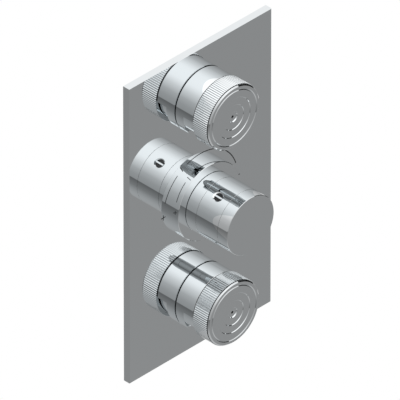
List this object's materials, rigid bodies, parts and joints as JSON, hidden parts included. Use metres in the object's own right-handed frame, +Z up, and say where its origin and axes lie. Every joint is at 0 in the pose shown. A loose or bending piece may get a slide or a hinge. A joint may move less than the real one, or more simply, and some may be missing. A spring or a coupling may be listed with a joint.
{
  "type": "concealed thermostatic shower valve",
  "caption": "Concealed thermostatic shower valve with a rectangular chrome cover plate, a central temperature handle with stop button, and reeded volume knobs above and below it.",
  "frame": {"origin": "on the thermostat's axis, in the plane of the finished wall, which is the back of the cover plate's rim", "axes": "+X to the right along the plate's width, towards the cold inlet; +Y into the wall; +Z up along the plate's height"},
  "size_m": [0.145, 0.126, 0.26],
  "materials": {
    "chrome": "polished",
    "steel": "satin",
    "brass": "machined",
    "copper": "machined",
    "rubber": "matte",
    "foam": "matte",
    "white_plastic": "moulded",
    "grey_plastic": "moulded",
    "ceramic": "lapped"
  },
  "bodies": {
    "valve": {"cover_plate": "chrome", "plate_gasket": "foam", "dial_ring": "chrome", "valve_body": "brass", "thermostat_nut": "brass", "cartridge_head": "brass", "cartridge_shell": "steel", "hot_seat": "brass", "cartridge_seals": "rubber", "stop_carrier": "white_plastic", "stop_ring": "grey_plastic", "headworks": "brass", "fixed_discs": "ceramic", "seat_seals": "rubber", "knob_sleeves": "brass", "sleeve_seals": "rubber", "check_valve_cages": "white_plastic", "inlet_filters": "steel", "gallery_plug": "brass", "mounting_bracket": "steel", "bracket_screws": "steel", "return_spring": "steel", "hot_check_spring": "steel", "cold_check_spring": "steel"},
    "thermostat_handle": {"handle_base": "chrome", "handle_sleeve": "chrome", "handle_cap": "chrome", "handle_hub": "white_plastic", "handle_screw": "steel", "spindle_extension": "brass", "thermostat_spindle": "brass", "spindle_seal": "rubber", "button_spring": "steel"},
    "stop_button": {"stop_button": "chrome"},
    "regulator": {"control_nut": "brass", "overload_spring": "steel", "plunger": "brass", "plunger_clip": "steel", "wax_element": "copper", "spool": "brass", "spool_seal": "rubber"},
    "hot_check_poppet": {"hot_check_poppet": "white_plastic"},
    "cold_check_poppet": {"cold_check_poppet": "white_plastic"},
    "upper_knob": {"upper_knob_barrel": "chrome", "upper_grip_ring": "chrome", "upper_knob_cap": "chrome", "upper_adapter": "white_plastic", "upper_knob_screw": "steel", "upper_spindle": "brass", "upper_stop_collar": "steel", "upper_moving_disc": "ceramic"},
    "lower_knob": {"lower_knob_barrel": "chrome", "lower_grip_ring": "chrome", "lower_knob_cap": "chrome", "lower_adapter": "white_plastic", "lower_knob_screw": "steel", "lower_spindle": "brass", "lower_stop_collar": "steel", "lower_moving_disc": "ceramic"}
  },
  "joints": [
    {"name": "temperature", "type": "hinge", "parent": "valve", "child": "thermostat_handle", "pos_m": [0, 0, 0], "axis": [0, -1, 0], "range_deg": [-120, 60]},
    {"name": "regulator_travel", "type": "slide", "parent": "valve", "child": "regulator", "axis": [0, -1, 0], "range_m": [-0.001, 0.0005], "deforming": ["return_spring"]},
    {"name": "stop_button_press", "type": "slide", "parent": "thermostat_handle", "child": "stop_button", "axis": [0.5, 0, -0.866], "range_m": [0, 0.0015], "stiffness_N_per_m": 300, "springref_m": -0.001, "deforming": ["button_spring"]},
    {"name": "upper_volume", "type": "hinge", "parent": "valve", "child": "upper_knob", "pos_m": [0, 0, 0.0865], "axis": [0, -1, 0], "range_deg": [0, 90]},
    {"name": "lower_volume", "type": "hinge", "parent": "valve", "child": "lower_knob", "pos_m": [0, 0, -0.0865], "axis": [0, -1, 0], "range_deg": [0, 90]},
    {"name": "hot_check", "type": "slide", "parent": "valve", "child": "hot_check_poppet", "axis": [1, 0, 0], "range_m": [0, 0.0025], "stiffness_N_per_m": 60, "springref_m": -0.001, "deforming": ["hot_check_spring"]},
    {"name": "cold_check", "type": "slide", "parent": "valve", "child": "cold_check_poppet", "axis": [-1, 0, 0], "range_m": [0, 0.0025], "stiffness_N_per_m": 60, "springref_m": -0.001, "deforming": ["cold_check_spring"]}
  ],
  "couplings": [
    {"joint": "regulator_travel", "follows": "temperature", "m_per_rad": 0.000477}
  ]
}
